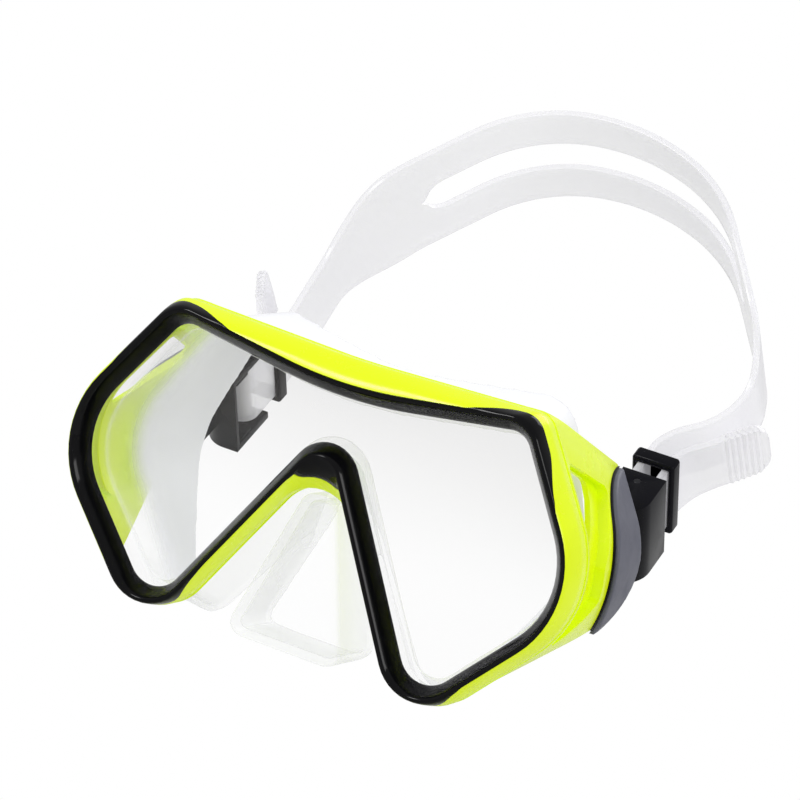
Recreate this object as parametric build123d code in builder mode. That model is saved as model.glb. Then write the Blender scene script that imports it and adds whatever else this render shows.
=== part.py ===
"""Snorkel mask: one-window diving mask with a clear silicone skirt and head strap.

Frame: millimetres, +Z up, the wearer looks along -Y and +X is the wearer's left.
The origin is the centre of the face opening, on the plane of symmetry.
The lens stands upright, parallel to XZ, ahead of the origin.
"""
from build123d import *
import math
import os

os.makedirs("parts", exist_ok=True)

# ---------------------------------------------------------------- driving sizes
lens_y = -45.0              # front face of the lens
lens_thickness = 4.0
lens_overlap = 2.4          # how far the glass reaches under the bezel
running_gap = 0.35          # gap between pieces that move past each other

# Window opening, right half, from the top centre to the nose: x, z, corner radius.
opening_corners = (
    (0.0, 28.8, 130.0),
    (50.9, 36.4, 6.0),
    (75.1, -1.7, 23.3),
    (39.9, -40.6, 8.4),
    (0.0, 27.4, 10.0),
)
# Outside of the moulded frame, in the same order.
frame_corners = (
    (0.0, 40.2, 250.0),
    (54.3, 42.2, 6.0),
    (82.9, -1.7, 30.0),
    (39.5, -49.8, 14.2),
    (0.0, 17.5, 13.0),
)
# Edge of the skirt where it meets the face, in the same order.
face_corners = (
    (0.0, 44.0, 150.0),
    (44.0, 45.0, 16.0),
    (56.0, 0.0, 26.0),
    (30.0, -60.0, 9.0),
    (0.0, -36.0, 12.0),
)

bezel_depth = 5.5           # crest of the rim, ahead of the lens
bezel_slope = 3.3           # sideways run of the bevel from lens to crest
bezel_land = 0.4            # flat top of the crest
lug_depth = 4.0             # how far the lugs of the bezel wrap back over the frame
lug_wall = 0.9              # thickness of the lugs on the shoulders of the frame
corner_lug = ((33.0, 30.0), (35.0, 38.0), (44.0, 60.0), (90.0, 60.0), (90.0, 22.0), (60.0, 22.0))
lobe_lug = ((52.0, -24.0), (60.0, -36.0), (50.0, -60.0), (30.0, -60.0), (22.0, -30.0), (30.0, -24.0))
nose_lug_half = 13.5        # half width of the lug over the nose bridge
nose_lug_drop = -3.5        # height of its ends
nose_lug_top = 7.4          # height of its lower edge on the centre line

frame_back = 6.6            # rear face of the frame ring, behind the lens front
shoulder_back = 1.0         # where the front shoulders end, behind the lens front
shoulder_draft = 13.0       # degrees

arm_wall = 2.4
arm_root_overlap = 0.2      # how far the arms start inside the ring
arm_draft = 2.5             # degrees, the arms lean in towards the rear
arm_inner_x = 48.0          # the arms keep clear of the brow and the nose
arm_reach = 46.0            # rearmost point of the arms, behind the lens front
arm_bulge_z = 6.0
arm_horn_top = (48.5, 28.5)
arm_horn_bottom = (38.0, -14.5)
arm_root_top = 42.2
arm_root_bottom = -29.0
window_corners = ((7.4, 30.5), (17.0, 28.0), (26.5, 25.0), (25.0, 20.5), (16.0, 11.0), (7.4, 6.0))
window_radius = 1.5
# Recess in the outside of the arm, behind the ring: distance behind the lens front, z.
recess_corners = ((7.4, 31.5), (34.0, 24.0), (25.5, 14.0), (21.0, 5.0), (24.0, -4.0), (7.4, -18.0))
recess_radius = 2.0
recess_depth = 3.0
recess_floor_wall = 1.4
recess_rim = 1.4            # how far the tray reaches under the edge of the recess
recess_overlap = 0.3        # how far the tray reaches into the wall of the arm

cap_wall = 1.5
cap_front_y = 26.5          # foremost point of the crescent cap
cap_front_z = 4.5
seal_width = 0.8
seal_proud = 0.5
# Pegs under the cap: distance ahead of the arm's rearmost point, z.
peg_points = ((3.0, 21.5), (4.5, 8.0), (6.5, -2.0))
peg_radius = 1.9
peg_proud = 0.8

flange_depth = 2.4          # skirt flange behind the lens
flange_lip = 1.4            # how far the flange shows inside the opening
throat_step = 0.6           # how far the wall starts outside the edge of the lip
skirt_wall = 1.8
skirt_section = 62.0        # skirt cross-section that the head shape is cut from
head_radius = 110.0         # curve of the brow and cheeks
head_lean = 9.0             # degrees, the forehead edge lies further back than the lip
face_at_centre = 30.0       # face edge of the skirt, behind the lens front, at mid height

pocket_top_half = 4.5
pocket_top_z = 3.4
pocket_bottom_half = 18.0
pocket_bottom_z = -40.0
pocket_front = 0.5
pocket_back = 32.0
pocket_radius = 4.0

pivot_inset = 8.0           # buckle swivel axis, ahead of the arm's rearmost point
pivot_y = arm_reach - pivot_inset
pivot_z = -9.0
pivot_radius = 2.2
pivot_shoulder = 3.4         # radius of the shoulder and of the head
pivot_head = 1.2
buckle_pitch = 35.0         # degrees, rise of the strap at the buckles
loop_pitch = 51.0           # degrees, rise of the strap behind the head
loop_start = 60.0           # where the steeper part starts, from the swivel axis

housing_outer_x = 69.6
housing_inner_x = 56.6
housing_width = 26.0
housing_wall = 1.5
housing_cheek = 2.2
housing_start = 25.0
housing_end = 42.5
housing_radius = 8.0
tongue_width = 11.0
tongue_outer_x = 66.2
tongue_thickness = 3.2

roller_radius = 2.4
axle_radius = 1.0
roller_at = 38.8
roller_x = 62.5

button_x = 60.2
button_at = 30.3
button_length = 4.4
button_depth = 5.0
button_proud = 1.2
button_flange = 0.6
button_flange_wall = 0.8
button_round = 0.6
pawl_x = 65.6
pawl_at = 29.8
pawl_pin_radius = 0.7
pawl_reach = 4.0
pawl_thickness = 1.1
pawl_width = 12.0

strap_width = 20.5
strap_thickness = 1.8
strap_gap = 0.3             # play between the strap and the roller
loop_width = 38.0           # overall width behind the head
slot_width = 11.6
slot_start = 62.4           # where the strap splits, from the start of the loop
widen_start = 24.0
widen_end = 54.6
tail_flare_left = 45.0      # degrees, the free ends stand away from the head
tail_flare_right = 25.0
tail_length_left = 31.5
tail_length_right = 26.0
tail_bend = 14.0            # radius of the bend behind the keeper
# Corners of the loop behind the head, from the right buckle to the left one:
# x, distance along the strap, radius.
loop_corners = (
    (-58.9, 45.0, 62.0),
    (-23.5, 93.5, 45.0),
    (10.5, 97.0, 62.0),
    (41.5, 86.5, 54.0),
    (71.0, 44.0, 40.0),
    (79.5, 20.0, 22.0),
    (58.9, 4.5, 14.0),
)
loop_end = 97.0

keeper_at = 51.0
keeper_depth = 5.0
keeper_bar = 1.5
keeper_height = 24.6
keeper_chamfer = 0.7

# ---------------------------------------------------------------- derived sizes
crest_y = lens_y - bezel_depth
ring_back_y = lens_y + frame_back
bezel_width = bezel_slope + bezel_land
pivot = Vector(0.0, lens_y + pivot_y, pivot_z)
strap_offset = roller_radius + strap_gap + strap_thickness / 2
strap_inner_x = roller_x - strap_offset
strap_outer_x = roller_x + strap_offset


def front_plane(y):
    """Plane parallel to XZ at a given y, drawn as seen by someone facing the lens."""
    return Plane(origin=(0.0, y, 0.0), x_dir=(1.0, 0.0, 0.0), z_dir=(0.0, -1.0, 0.0))


def strap_plane(pitch, start=pivot, width_offset=0.0):
    """Plan of a strap that rises by pitch: local x is X, local y runs along the strap."""
    angle = math.radians(pitch)
    normal = Vector(0.0, -math.sin(angle), math.cos(angle))
    return Plane(origin=start + normal * width_offset, x_dir=(1.0, 0.0, 0.0), z_dir=normal)


def strap_side_plane(pitch, start=pivot):
    """Side view of a strap: local x runs along the strap, local y across its width."""
    angle = math.radians(pitch)
    return Plane(origin=start, x_dir=(0.0, math.cos(angle), math.sin(angle)), z_dir=(1.0, 0.0, 0.0))


def rounded_outline(corners):
    """Closed symmetric outline from half its corners, each rounded by its own radius."""
    half = [(x, z) for x, z, radius in corners]
    mirrored = [(-x, z) for x, z in reversed(half[1:-1])]
    with BuildSketch() as outline:
        with BuildLine():
            Polyline(*half, *mirrored, close=True)
        make_face()
        for x, z, radius in corners:
            for side in ((1, -1) if x else (1,)):
                corner = outline.vertices().sort_by_distance((side * x, z))[0]
                fillet(corner, radius)
    return outline.sketch


def mirrored_part(part):
    """The same piece on the other side of the mask."""
    with BuildPart() as twin:
        mirror(part, about=Plane.YZ)
    return twin.part


def save(part, name):
    part.label = name
    export_step(part, f"parts/{name}.step")


opening = rounded_outline(opening_corners)
frame_outline = rounded_outline(frame_corners)
bezel_outline = offset(opening, amount=bezel_width)
lens_outline = offset(opening, amount=lens_overlap)

# ---------------------------------------------------------------- lens
with BuildPart() as lens:
    with BuildSketch(front_plane(lens_y)):
        add(lens_outline)
    extrude(amount=-lens_thickness)
save(lens.part, "lens")

# ---------------------------------------------------------------- frame blank
# The ring with drafted front shoulders, before the bezel is let into it.
with BuildPart() as ring_blank:
    with BuildSketch(front_plane(ring_back_y)):
        add(frame_outline)
    extrude(amount=frame_back - shoulder_back)
    with BuildSketch(front_plane(lens_y + shoulder_back)):
        add(frame_outline)
    extrude(amount=bezel_depth + shoulder_back, taper=shoulder_draft)

# ---------------------------------------------------------------- bezel
# A glossy ring around the glass, with five lugs that lap over the frame.
with BuildPart() as lug_zone:
    with BuildSketch(front_plane(lens_y)) as lug_outline:
        for points in (corner_lug, lobe_lug):
            for side in (1, -1):
                with BuildLine():
                    Polyline(*[(side * x, z) for x, z in points], close=True)
                make_face()
        with BuildLine():
            ThreePointArc(
                (-nose_lug_half, nose_lug_drop),
                (0.0, nose_lug_top),
                (nose_lug_half, nose_lug_drop),
            )
            Polyline(
                (nose_lug_half, nose_lug_drop),
                (nose_lug_half + lug_depth, nose_lug_drop),
                (0.0, opening_corners[-1][1]),
                (-nose_lug_half - lug_depth, nose_lug_drop),
                (-nose_lug_half, nose_lug_drop),
            )
        make_face()
    extrude(amount=bezel_depth, both=True)

with BuildPart() as lug_shell:
    with BuildSketch(front_plane(lens_y + shoulder_back)):
        add(frame_outline)
    extrude(amount=bezel_depth + shoulder_back, taper=shoulder_draft)
    with BuildSketch(front_plane(lens_y + shoulder_back)):
        offset(frame_outline, amount=-lug_wall)
    extrude(amount=bezel_depth + shoulder_back - lug_wall, taper=shoulder_draft, mode=Mode.SUBTRACT)
    with BuildSketch(front_plane(crest_y + lug_depth)):
        add(frame_outline)
    extrude(amount=-lug_depth, mode=Mode.SUBTRACT)
    add(lug_zone.part, mode=Mode.INTERSECT)

with BuildPart() as bezel:
    with BuildSketch(front_plane(lens_y)):
        add(bezel_outline)
    extrude(amount=bezel_depth)
    add(lug_shell.part)
    with BuildSketch(front_plane(crest_y)):
        offset(opening, amount=bezel_slope)
    extrude(amount=-bezel_depth, taper=math.degrees(math.atan2(bezel_slope, bezel_depth)), mode=Mode.SUBTRACT)
save(bezel.part, "bezel")

# ---------------------------------------------------------------- side arms
def arm_band(outward, wall):
    """Tapered tube behind the ring that the arms and their covers are cut from."""
    length = arm_reach + cap_wall - frame_back + arm_root_overlap
    with BuildPart() as band:
        with BuildSketch(front_plane(ring_back_y - arm_root_overlap)):
            offset(frame_outline, amount=outward)
        extrude(amount=-length, taper=arm_draft)
        with BuildSketch(front_plane(ring_back_y - arm_root_overlap)):
            offset(frame_outline, amount=outward - wall)
        extrude(amount=-length, taper=arm_draft, mode=Mode.SUBTRACT)
        Box(2 * arm_inner_x, 4 * length, 4 * length, mode=Mode.SUBTRACT)
    return band.part


def side_point(y, z):
    """Side-view point, y counted from the lens front."""
    return (lens_y + y, z)


def crescent_front(shift=0.0):
    """Front edge of the soft cover, seen from the side."""
    return ThreePointArc(
        side_point(arm_horn_top[0] + shift, arm_horn_top[1]),
        side_point(cap_front_y + shift, cap_front_z),
        side_point(arm_horn_bottom[0] + shift, arm_horn_bottom[1]),
    )


def crescent_rear(reach):
    """Rear edge of the arm or of its cover, seen from the side."""
    return ThreePointArc(
        side_point(arm_horn_bottom[0] + reach, arm_horn_bottom[1] - reach),
        side_point(arm_reach + reach, arm_bulge_z),
        side_point(arm_horn_top[0] + reach, arm_horn_top[1] + reach),
    )


def side_prism(corners, radius, grown=0.0):
    """Both-sided block whose side view is a polygon with rounded corners."""
    with BuildPart() as prism:
        with BuildSketch(Plane.YZ) as outline:
            with BuildLine():
                Polyline(*[side_point(*corner) for corner in corners], close=True)
            make_face()
            for corner in corners:
                fillet(outline.vertices().sort_by_distance(side_point(*corner))[0], radius)
            if grown:
                offset(amount=grown)
        extrude(amount=2 * frame_corners[2][0], both=True)
    return prism.part


# Tray that closes the recess from behind.
with BuildPart() as tray:
    add(arm_band(recess_overlap - arm_wall, recess_depth + recess_floor_wall + recess_overlap - arm_wall))
    add(side_prism(recess_corners, recess_radius, recess_rim), mode=Mode.INTERSECT)
    with BuildSketch(front_plane(ring_back_y)):
        add(frame_outline)
    extrude(amount=frame_back + bezel_depth, mode=Mode.SUBTRACT)

with BuildPart() as recess:
    add(arm_band(recess_depth, 2 * recess_depth))
    add(side_prism(recess_corners, recess_radius), mode=Mode.INTERSECT)

with BuildPart() as arms:
    add(arm_band(0.0, arm_wall))
    with BuildSketch(Plane.YZ) as arm_side:
        with BuildLine():
            crescent_rear(0.0)
            Polyline(
                side_point(*arm_horn_top),
                side_point(frame_back - arm_root_overlap, arm_root_top),
                side_point(frame_back - arm_root_overlap, arm_root_bottom),
                side_point(*arm_horn_bottom),
            )
        make_face()
    extrude(amount=2 * frame_corners[2][0], both=True, mode=Mode.INTERSECT)
    add(tray.part)
    add(recess.part, mode=Mode.SUBTRACT)
    add(side_prism(window_corners, window_radius), mode=Mode.SUBTRACT)

with BuildPart() as pegs:
    for ahead, z in peg_points:
        with BuildSketch(Plane.YZ.offset(arm_inner_x)):
            with Locations(side_point(arm_reach - ahead, z)):
                Circle(peg_radius)
        extrude(amount=frame_corners[2][0] - arm_inner_x)
    add(arm_band(0.0, arm_wall + peg_proud), mode=Mode.INTERSECT)

with BuildPart() as pin_bore:
    with BuildSketch(Plane.YZ.offset(arm_inner_x)):
        with Locations((pivot.Y, pivot.Z)):
            Circle(pivot_radius)
    extrude(amount=frame_corners[2][0] - arm_inner_x)

with BuildPart() as outer_frame:
    add(ring_blank.part)
    with BuildSketch(front_plane(ring_back_y)):
        add(bezel_outline)
    extrude(amount=frame_back + bezel_depth, mode=Mode.SUBTRACT)
    add(arms.part)
    add(bezel.part, mode=Mode.SUBTRACT)
    for cutter in (pegs.part, pin_bore.part):
        add(cutter, mode=Mode.SUBTRACT)
        add(mirrored_part(cutter), mode=Mode.SUBTRACT)
save(outer_frame.part, "outer_frame")

# ---------------------------------------------------------------- soft covers on the arms
with BuildPart() as side_cap_left:
    add(arm_band(cap_wall, 2 * cap_wall + arm_wall))
    with BuildSketch(Plane.YZ) as crescent:
        with BuildLine():
            crescent_front(seal_width)
            Line(
                side_point(arm_horn_bottom[0] + seal_width, arm_horn_bottom[1]),
                side_point(arm_horn_bottom[0] + cap_wall, arm_horn_bottom[1] - cap_wall),
            )
            crescent_rear(cap_wall)
            Line(
                side_point(arm_horn_top[0] + cap_wall, arm_horn_top[1] + cap_wall),
                side_point(arm_horn_top[0] + seal_width, arm_horn_top[1]),
            )
        make_face()
    extrude(amount=2 * frame_corners[2][0], mode=Mode.INTERSECT)
    add(arm_band(0.0, 4 * cap_wall + arm_wall), mode=Mode.SUBTRACT)
    add(pegs.part)
save(side_cap_left.part, "side_cap_left")
side_cap_right = mirrored_part(side_cap_left.part)
save(side_cap_right, "side_cap_right")

with BuildPart() as cap_seal_left:
    add(arm_band(seal_proud, seal_proud))
    with BuildSketch(Plane.YZ) as seal_strip:
        with BuildLine():
            crescent_front(0.0)
            Line(
                side_point(*arm_horn_bottom),
                side_point(arm_horn_bottom[0] + seal_width, arm_horn_bottom[1]),
            )
            crescent_front(seal_width)
            Line(
                side_point(arm_horn_top[0] + seal_width, arm_horn_top[1]),
                side_point(*arm_horn_top),
            )
        make_face()
    extrude(amount=2 * frame_corners[2][0], mode=Mode.INTERSECT)
save(cap_seal_left.part, "cap_seal_left")
cap_seal_right = mirrored_part(cap_seal_left.part)
save(cap_seal_right, "cap_seal_right")

# ---------------------------------------------------------------- skirt and nose pocket
flange_y = lens_y + lens_thickness
throat_y = flange_y + flange_depth
throat_wall = skirt_wall + throat_step - flange_lip


def chamber(inward):
    """Solid between the lens and the face: the skirt's outside, or its inside when set inward."""
    with BuildPart() as body:
        with BuildSketch(front_plane(throat_y)):
            offset(opening, amount=throat_wall - inward)
        with BuildSketch(front_plane(lens_y + skirt_section)):
            offset(rounded_outline(face_corners), amount=-inward)
        loft(ruled=True)
        with BuildSketch(front_plane(lens_y + pocket_front + inward)) as pocket:
            with BuildLine():
                Polyline(
                    (pocket_top_half, pocket_top_z),
                    (-pocket_top_half, pocket_top_z),
                    (-pocket_bottom_half, pocket_bottom_z),
                    (pocket_bottom_half, pocket_bottom_z),
                    close=True,
                )
            make_face()
            fillet(pocket.vertices(), pocket_radius)
            if inward:
                offset(amount=-inward, mode=Mode.REPLACE)
        extrude(amount=-(pocket_back - pocket_front - inward))
    return body.part


with BuildPart() as skirt:
    add(chamber(0.0))
    add(chamber(skirt_wall), mode=Mode.SUBTRACT)
    with BuildSketch(front_plane(throat_y)):
        add(bezel_outline)
        offset(opening, amount=-flange_lip, mode=Mode.SUBTRACT)
    extrude(amount=flange_depth)
    with BuildSketch(front_plane(flange_y)):
        add(bezel_outline)
        add(lens_outline, mode=Mode.SUBTRACT)
    extrude(amount=lens_thickness)
    head_axis = Plane(origin=(0.0, lens_y + face_at_centre + head_radius, 0.0)).rotated((-head_lean, 0, 0))
    with BuildSketch(head_axis.offset(-4 * frame_corners[1][1])):
        Circle(head_radius)
    extrude(amount=8 * frame_corners[1][1], mode=Mode.SUBTRACT)
save(skirt.part, "skirt")

# ---------------------------------------------------------------- buckles
# Built on the +X side in the tilted frame of the strap, then mirrored.
buckle_side = strap_side_plane(buckle_pitch)
half_housing = housing_width / 2
inner_half = half_housing - housing_cheek
housing_depth = housing_outer_x - housing_inner_x
tongue_inner_x = tongue_outer_x - tongue_thickness
housing_corner = (housing_outer_x, housing_start)
hollow_corner = (housing_outer_x - housing_wall, housing_start + housing_wall)


def plan_at(width_offset):
    """Plan of the buckle at a given distance across the strap from its middle."""
    return strap_plane(buckle_pitch, pivot, width_offset)


with BuildPart() as buckle_housing:
    with BuildSketch(plan_at(-half_housing)) as housing_plan:
        with Locations((housing_outer_x - housing_depth / 2, (housing_start + housing_end) / 2)):
            Rectangle(housing_depth, housing_end - housing_start)
        fillet(housing_plan.vertices().sort_by_distance(housing_corner)[0], housing_radius)
    extrude(amount=housing_width)
    # Tongue that reaches forward to the swivel pin.
    with BuildSketch(buckle_side.offset(tongue_inner_x)):
        with BuildLine():
            Polyline(
                (0.0, tongue_width / 2),
                (housing_start + housing_radius, tongue_width / 2),
                (housing_start + housing_radius, -tongue_width / 2),
                (0.0, -tongue_width / 2),
            )
            ThreePointArc((0.0, -tongue_width / 2), (-tongue_width / 2, 0.0), (0.0, tongue_width / 2))
        make_face()
    extrude(amount=tongue_thickness)
    # Hollow between the two cheeks, open to the rear and towards the head.
    with BuildSketch(plan_at(-inner_half)) as hollow_plan:
        with BuildLine():
            Polyline(
                (housing_inner_x - housing_wall, hollow_corner[1]),
                hollow_corner,
                (hollow_corner[0], housing_end + housing_wall),
                (housing_inner_x - housing_wall, housing_end + housing_wall),
                close=True,
            )
        make_face()
        fillet(hollow_plan.vertices().sort_by_distance(hollow_corner)[0], housing_radius - housing_wall)
    extrude(amount=2 * inner_half, mode=Mode.SUBTRACT)
    with BuildSketch(buckle_side.offset(tongue_inner_x)):
        Circle(pivot_radius + running_gap)
    extrude(amount=tongue_thickness, mode=Mode.SUBTRACT)
    with BuildSketch(plan_at(-half_housing)):
        with Locations((roller_x, roller_at)):
            Circle(axle_radius)
        with Locations((button_x, button_at)):
            Rectangle(button_depth + 2 * running_gap, button_length + 2 * running_gap)
    extrude(amount=housing_width, mode=Mode.SUBTRACT)

with BuildPart() as swivel_pin:
    with BuildSketch(Plane.YZ.offset(tongue_inner_x - running_gap - pivot_head)):
        with Locations((pivot.Y, pivot.Z)):
            Circle(pivot_shoulder)
    extrude(amount=pivot_head)
    with BuildSketch(Plane.YZ.offset(tongue_inner_x - running_gap - pivot_head)):
        with Locations((pivot.Y, pivot.Z)):
            Circle(pivot_radius)
    extrude(amount=tongue_outer_x - tongue_inner_x + 2 * running_gap + pivot_head)
    with BuildPart(mode=Mode.PRIVATE) as outboard:
        with BuildSketch(Plane.YZ.offset(tongue_outer_x + running_gap)):
            with Locations((pivot.Y, pivot.Z)):
                Circle(pivot_shoulder)
        extrude(amount=frame_corners[2][0] - tongue_outer_x)
        add(arm_band(0.0, 4 * arm_wall), mode=Mode.INTERSECT)
        add(outer_frame.part, mode=Mode.SUBTRACT)
    add(outboard.part)

with BuildPart() as roller_axle:
    with BuildSketch(plan_at(-half_housing)):
        with Locations((roller_x, roller_at)):
            Circle(axle_radius)
    extrude(amount=housing_width)

with BuildPart() as strap_roller:
    with BuildSketch(plan_at(-inner_half + running_gap)):
        with Locations((roller_x, roller_at)):
            Circle(roller_radius)
            Circle(axle_radius + running_gap, mode=Mode.SUBTRACT)
    extrude(amount=2 * (inner_half - running_gap))


def release_button(side):
    """Button in the upper (1) or lower (-1) cheek, held in by a flange behind the cheek."""
    flange_at = inner_half - running_gap - button_flange_wall
    with BuildPart() as button:
        with BuildSketch(plan_at(side * flange_at)):
            with Locations((button_x, button_at)):
                Rectangle(button_depth, button_length)
        extrude(amount=side * (half_housing + button_proud - flange_at))
        rows = button.edges().filter_by(Axis.X).group_by(Axis(pivot, plan_at(0).z_dir))
        fillet(rows[-1 if side > 0 else 0], button_round)
        with BuildSketch(plan_at(side * flange_at)):
            with Locations((button_x, button_at)):
                Rectangle(
                    button_depth + 2 * (running_gap + button_flange),
                    button_length + 2 * (running_gap + button_flange),
                )
        extrude(amount=side * button_flange_wall)
    return button.part


with BuildPart() as release_upper:
    add(release_button(1))
with BuildPart() as release_lower:
    add(release_button(-1))

with BuildPart() as locking_pawl:
    with BuildSketch(plan_at(-inner_half + running_gap)):
        with Locations((pawl_x, pawl_at)):
            Circle(pawl_pin_radius)
    extrude(amount=2 * (inner_half - running_gap))
    with BuildSketch(plan_at(-pawl_width / 2)):
        with Locations((pawl_x, pawl_at + pawl_reach / 2)):
            Rectangle(pawl_thickness, pawl_reach)
    extrude(amount=pawl_width)

keeper_inner_x = strap_inner_x - strap_thickness / 2 - running_gap - keeper_bar
keeper_outer_x = strap_outer_x + strap_thickness / 2 + running_gap + keeper_bar
keeper_slot = (keeper_outer_x - keeper_inner_x - 2 * keeper_bar, strap_width + 2 * running_gap)
with BuildPart() as strap_keeper:
    with BuildSketch(plan_at(-keeper_height / 2)):
        with Locations(((keeper_inner_x + keeper_outer_x) / 2, keeper_at)):
            Rectangle(keeper_outer_x - keeper_inner_x, keeper_depth)
    extrude(amount=keeper_height)
    chamfer(strap_keeper.edges(), keeper_chamfer)
    with BuildSketch(plan_at(-keeper_slot[1] / 2)):
        with Locations(((keeper_inner_x + keeper_outer_x) / 2, keeper_at)):
            Rectangle(keeper_slot[0], 2 * keeper_depth)
    extrude(amount=keeper_slot[1], mode=Mode.SUBTRACT)

buckle_pieces = {
    "swivel_pin": swivel_pin.part,
    "buckle_housing": buckle_housing.part,
    "roller_axle": roller_axle.part,
    "strap_roller": strap_roller.part,
    "release_upper": release_upper.part,
    "release_lower": release_lower.part,
    "locking_pawl": locking_pawl.part,
    "strap_keeper": strap_keeper.part,
}
for name, piece in buckle_pieces.items():
    save(piece, f"{name}_left")
    save(mirrored_part(piece), f"{name}_right")

# ---------------------------------------------------------------- head strap
loop_origin = strap_plane(buckle_pitch).from_local_coords((0.0, loop_start, 0.0))
loop_overlap = loop_width / 2 * math.tan(math.radians((loop_pitch - buckle_pitch) / 2))
tail_start = keeper_at + keeper_depth / 2 + running_gap


def strap_end(side, flare, length):
    """From the loop, round the roller and back out as the free tail."""
    inner_x = side * strap_inner_x
    outer_x = side * strap_outer_x
    with BuildPart() as end:
        with BuildSketch(plan_at(-strap_width / 2)):
            with BuildLine():
                Line((inner_x, loop_start + loop_overlap / 2), (inner_x, roller_at))
                ThreePointArc(
                    (inner_x, roller_at),
                    (side * roller_x, roller_at - strap_offset),
                    (outer_x, roller_at),
                )
                Line((outer_x, roller_at), (outer_x, tail_start))
                bend = JernArc((outer_x, tail_start), (0.0, 1.0), tail_bend, -side * flare)
                Line(bend @ 1, bend @ 1 + (bend % 1) * (length - tail_bend * math.radians(flare)))
                offset(amount=strap_thickness / 2, side=Side.BOTH, mode=Mode.REPLACE)
            make_face()
        extrude(amount=strap_width)
    return end.part


with BuildPart() as strap_loop:
    with BuildSketch(strap_plane(loop_pitch, loop_origin, -loop_width / 2)):
        with BuildLine() as middle:
            Polyline(
                (-strap_inner_x, -loop_overlap),
                *[(x, along) for x, along, radius in loop_corners],
                (strap_inner_x, -2 * loop_overlap),
            )
            for x, along, radius in loop_corners:
                fillet(middle.vertices().sort_by_distance((x, along))[0], radius)
            offset(amount=strap_thickness / 2, side=Side.BOTH, mode=Mode.REPLACE)
        make_face()
    extrude(amount=loop_width)
    # Width of the strap and its split into two bands, seen from the side.
    with BuildSketch(strap_side_plane(loop_pitch, loop_origin)) as loop_side:
        with BuildLine():
            Polyline(
                (-loop_width, strap_width / 2),
                (widen_start, strap_width / 2),
                (widen_end, loop_width / 2),
                (loop_end + loop_width, loop_width / 2),
                (loop_end + loop_width, -loop_width / 2),
                (widen_end, -loop_width / 2),
                (widen_start, -strap_width / 2),
                (-loop_width, -strap_width / 2),
                close=True,
            )
        make_face()
        with Locations((slot_start + loop_end / 2, 0.0)):
            SlotOverall(loop_end, slot_width, mode=Mode.SUBTRACT)
    extrude(amount=loop_width * 3, both=True, mode=Mode.INTERSECT)

with BuildPart() as strap:
    add(strap_end(1, tail_flare_left, tail_length_left))
    add(strap_end(-1, tail_flare_right, tail_length_right))
    add(strap_loop.part)
save(strap.part, "strap")
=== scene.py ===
"""Dresses the diving mask: window, bezel, frame, skirt, buckles and head strap."""

from dataclasses import dataclass, field
from enum import Enum
import logging
import math
from typing import Any, Optional, Sequence, Union

import bpy
from mathutils import Matrix, Vector


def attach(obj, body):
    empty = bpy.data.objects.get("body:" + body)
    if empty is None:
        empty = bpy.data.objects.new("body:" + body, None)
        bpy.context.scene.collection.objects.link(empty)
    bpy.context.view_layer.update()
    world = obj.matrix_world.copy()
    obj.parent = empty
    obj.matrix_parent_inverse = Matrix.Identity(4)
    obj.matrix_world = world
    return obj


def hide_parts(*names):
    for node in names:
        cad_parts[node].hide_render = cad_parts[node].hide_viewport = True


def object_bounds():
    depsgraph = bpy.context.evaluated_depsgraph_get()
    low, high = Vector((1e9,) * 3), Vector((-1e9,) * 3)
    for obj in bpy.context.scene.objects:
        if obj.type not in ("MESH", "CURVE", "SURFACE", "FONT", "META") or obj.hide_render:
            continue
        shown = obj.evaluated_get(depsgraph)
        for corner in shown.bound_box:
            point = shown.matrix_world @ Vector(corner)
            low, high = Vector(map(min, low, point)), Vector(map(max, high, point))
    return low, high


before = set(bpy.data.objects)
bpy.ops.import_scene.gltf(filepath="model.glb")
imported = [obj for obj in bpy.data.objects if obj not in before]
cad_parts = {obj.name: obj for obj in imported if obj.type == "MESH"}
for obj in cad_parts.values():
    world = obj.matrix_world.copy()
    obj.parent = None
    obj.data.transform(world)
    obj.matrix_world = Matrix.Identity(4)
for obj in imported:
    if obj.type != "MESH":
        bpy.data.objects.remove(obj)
CAD_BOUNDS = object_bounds()

LOG = logging.getLogger("diving_mask")
MM = 0.001
MASK = "mask"
Point = tuple[float, float]
Link = Union["Socket", float, int, Sequence[float]]


# ---------------------------------------------------------------- shader maths
class Socket:
    """An output of a shader node that takes part in arithmetic."""

    def __init__(self, graph: "Graph", output: Any) -> None:
        """Keeps the graph and the output.

        Args:
            graph: The node graph that the output belongs to.
            output: The Blender socket.
        """
        self.graph = graph
        self.output = output

    def _math(self, operation: str, *values: Link) -> "Socket":
        """Adds a Math node.

        Args:
            operation: The Math node's operation.
            values: Its inputs in order.

        Returns:
            The node's result.
        """
        inputs = {i: v for i, v in enumerate(values)}
        return self.graph.node("ShaderNodeMath", inputs, operation=operation)

    def __add__(self, other: Link) -> "Socket":
        """Sum."""
        return self._math("ADD", self, other)

    __radd__ = __add__

    def __rsub__(self, other: Link) -> "Socket":
        """Difference from a number on the left."""
        return self._math("SUBTRACT", other, self)

    def __mul__(self, other: Link) -> "Socket":
        """Product."""
        return self._math("MULTIPLY", self, other)

    __rmul__ = __mul__

    def absolute(self) -> "Socket":
        """Distance from zero."""
        return self._math("ABSOLUTE", self)

    def ramp(self, start: float, end: float, low: float = 0.0, high: float = 1.0) -> "Socket":
        """Smooth change between two values.

        Args:
            start: Where the change begins.
            end: Where it is complete.
            low: The result before start.
            high: The result past end.

        Returns:
            The changed value.
        """
        inputs = {0: self, 1: start, 2: end, 3: low, 4: high}
        return self.graph.node("ShaderNodeMapRange", inputs, interpolation_type="SMOOTHSTEP", clamp=True)


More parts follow.
